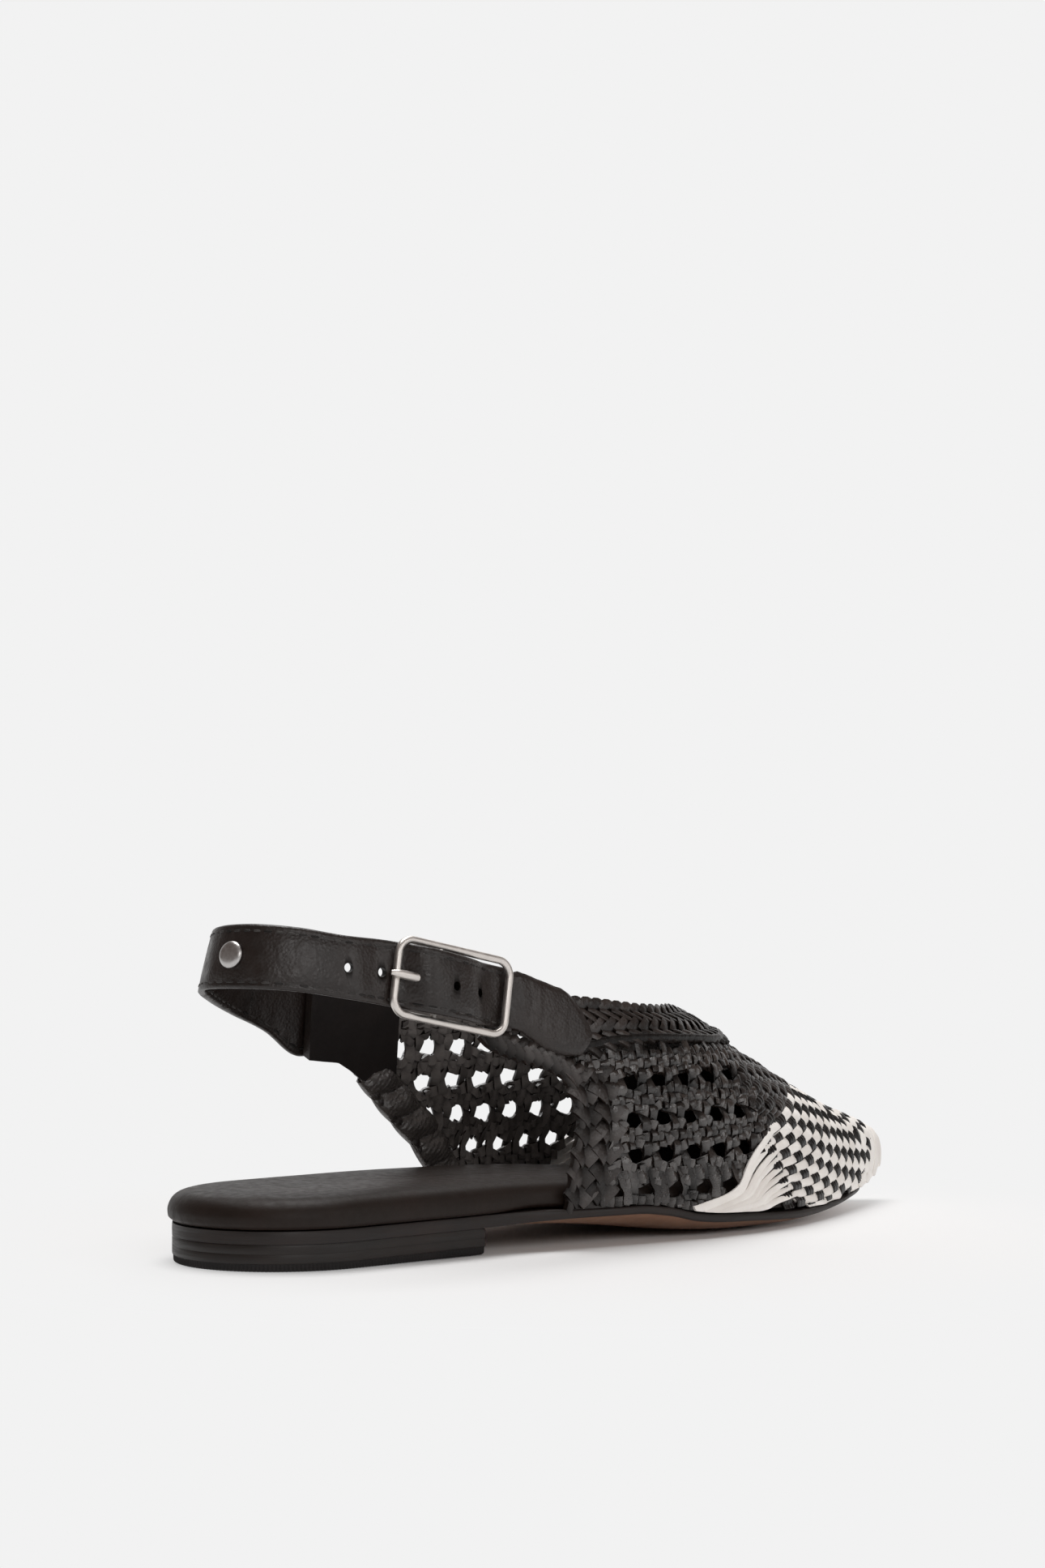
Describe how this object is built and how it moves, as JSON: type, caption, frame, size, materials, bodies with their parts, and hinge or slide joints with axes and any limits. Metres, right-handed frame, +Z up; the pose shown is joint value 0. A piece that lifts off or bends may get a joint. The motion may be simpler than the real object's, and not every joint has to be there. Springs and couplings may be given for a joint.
{
  "type": "woven slingback flat",
  "caption": "Pointed right-foot slingback flat of woven leather strips with a plaited collar band, buckled heel strap, padded insole and low stacked heel.",
  "frame": {"origin": "on the floor, under the middle of the shoe's box", "axes": "+Y to the toe, +X to the outer side of the right foot, +Z up; the floor is Z = 0"},
  "size_m": [0.077, 0.265, 0.0908],
  "materials": {
    "outsole": "black inked edge, natural tan underside",
    "heel": "black polished stack",
    "top_piece": "matte, fine knurled edge",
    "insole": "smooth padded black leather",
    "upper": "woven glossy black strips, black and white checker at the toe",
    "collar_band": "herringbone plait of fine black strips",
    "rear_plait_outer": "flat plait of black strips",
    "rear_plait_inner": "puffed folded black leather",
    "sling_strap": "doubled black leather, stitched edges",
    "buckle_tab": "wrinkled black leather",
    "buckle_frame": "polished",
    "buckle_prong": "polished",
    "strap_rivet": "satin"
  },
  "bodies": {
    "root": {"outsole": "outsole", "heel": "heel", "top_piece": "top_piece", "insole": "insole", "upper": "upper", "collar_band": "collar_band", "rear_plait_outer": "rear_plait_outer", "rear_plait_inner": "rear_plait_inner", "sling_strap": "sling_strap", "buckle_tab": "buckle_tab", "buckle_frame": "buckle_frame", "buckle_prong": "buckle_prong", "strap_rivet": "strap_rivet"}
  },
  "joints": []
}
